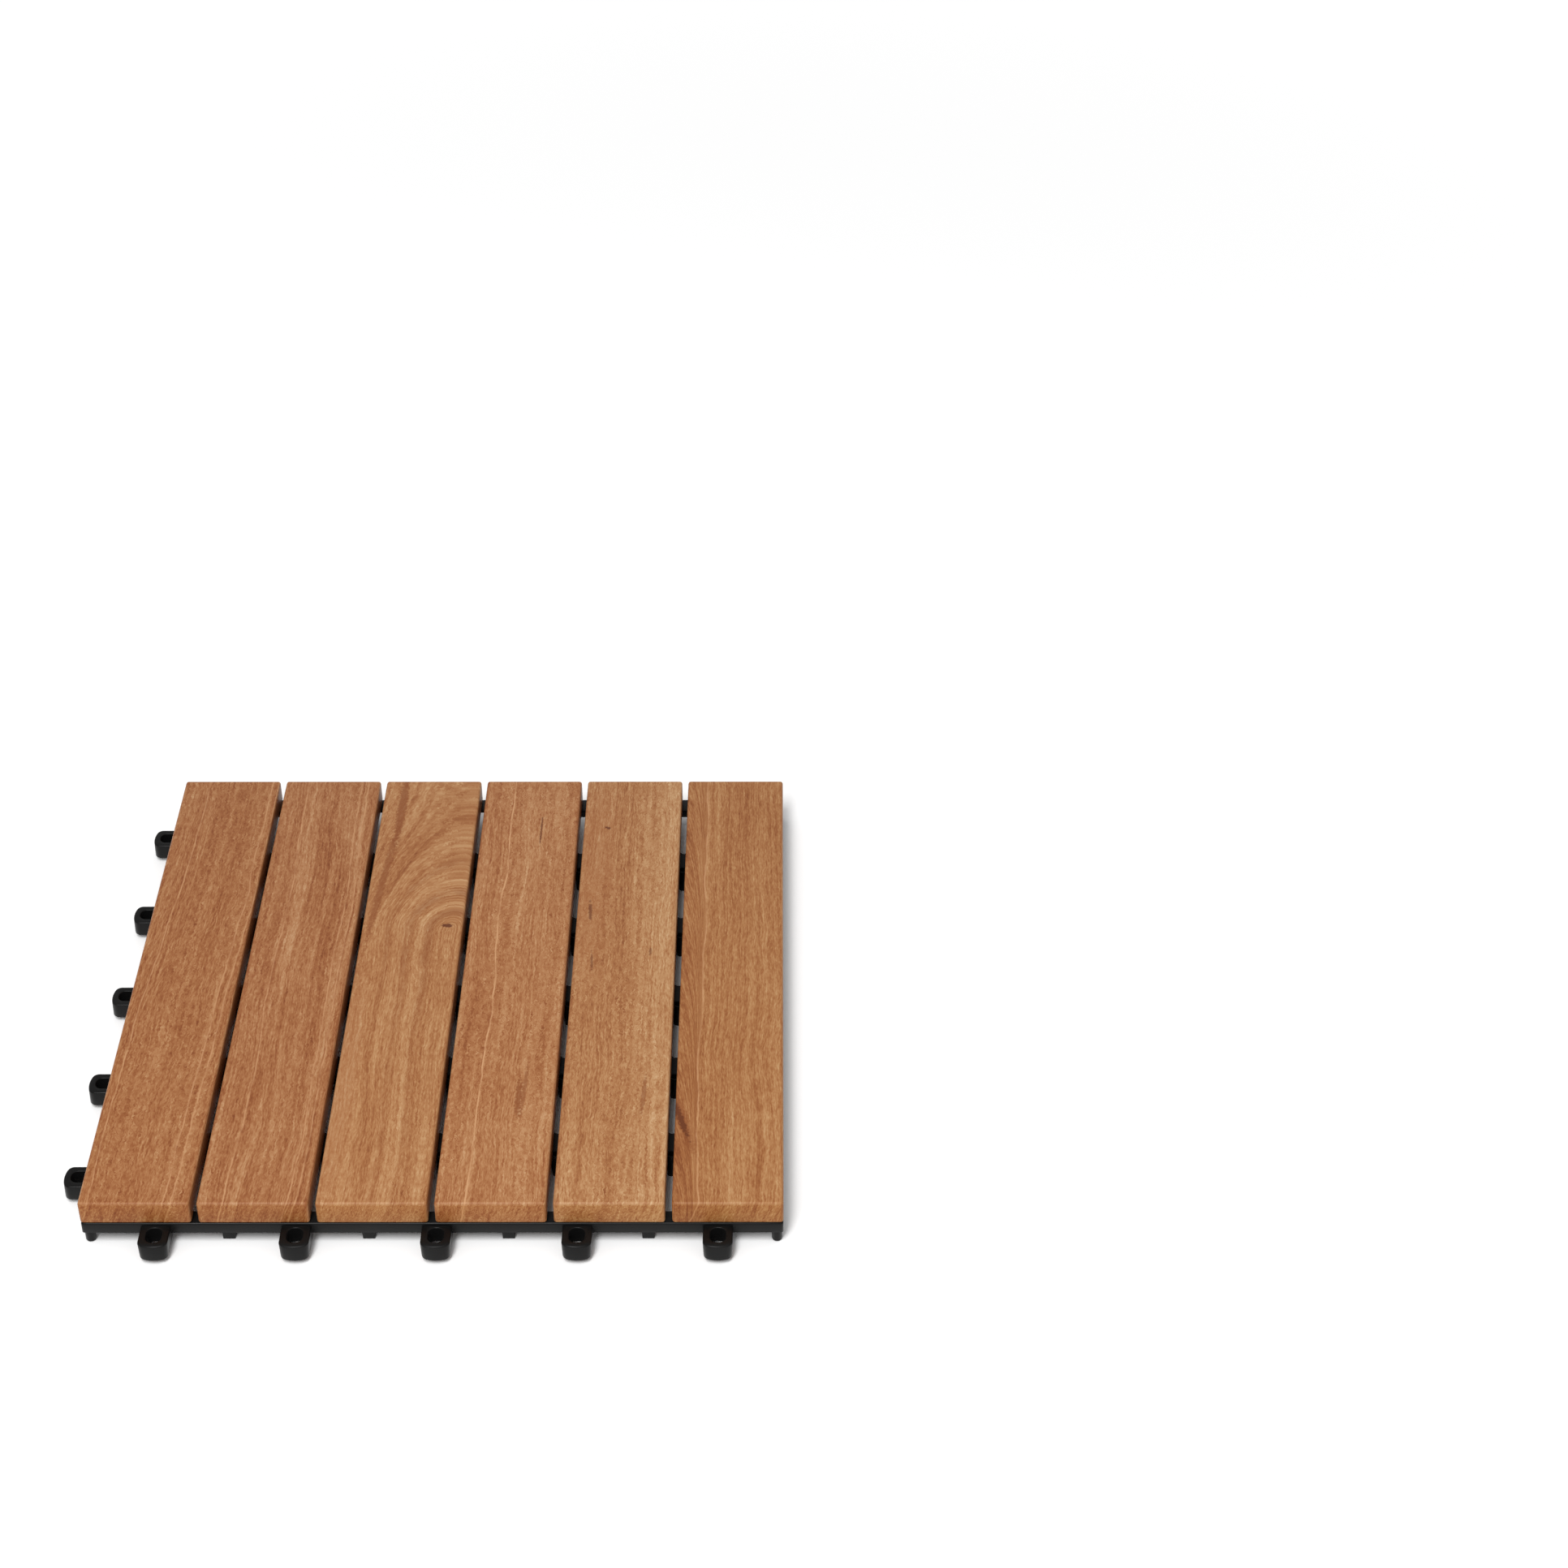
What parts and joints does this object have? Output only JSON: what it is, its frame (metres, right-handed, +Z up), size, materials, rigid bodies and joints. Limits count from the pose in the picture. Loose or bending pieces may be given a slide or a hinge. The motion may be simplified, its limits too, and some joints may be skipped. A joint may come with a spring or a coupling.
{
  "type": "interlocking deck tile",
  "caption": "Square deck tile of parallel hardwood slats on a plastic grid base, with connecting loops on two sides and connecting pins on the other two.",
  "frame": {"origin": "on the ground, at the middle of the bounding box, loops included; the middle of the square of slats is at x = y = 6.5 mm", "axes": "+Z up through the deck face; +Y along the slats, away from the front loops; +X across the slats, away from the left loops"},
  "size_m": [0.313, 0.313, 0.0235],
  "materials": {
    "base_plastic": "black polypropylene, satin",
    "wood_1": "oiled reddish brown hardwood",
    "wood_2": "oiled reddish brown hardwood",
    "wood_3": "oiled reddish brown hardwood",
    "wood_4": "oiled reddish brown hardwood",
    "wood_5": "oiled reddish brown hardwood",
    "wood_6": "oiled reddish brown hardwood",
    "screw_steel": "zinc plated steel"
  },
  "bodies": {
    "root": {"base_grid": "base_plastic", "slat_1": "wood_1", "slat_2": "wood_2", "slat_3": "wood_3", "slat_4": "wood_4", "slat_5": "wood_5", "slat_6": "wood_6", "slat_screws": "screw_steel"}
  },
  "joints": []
}
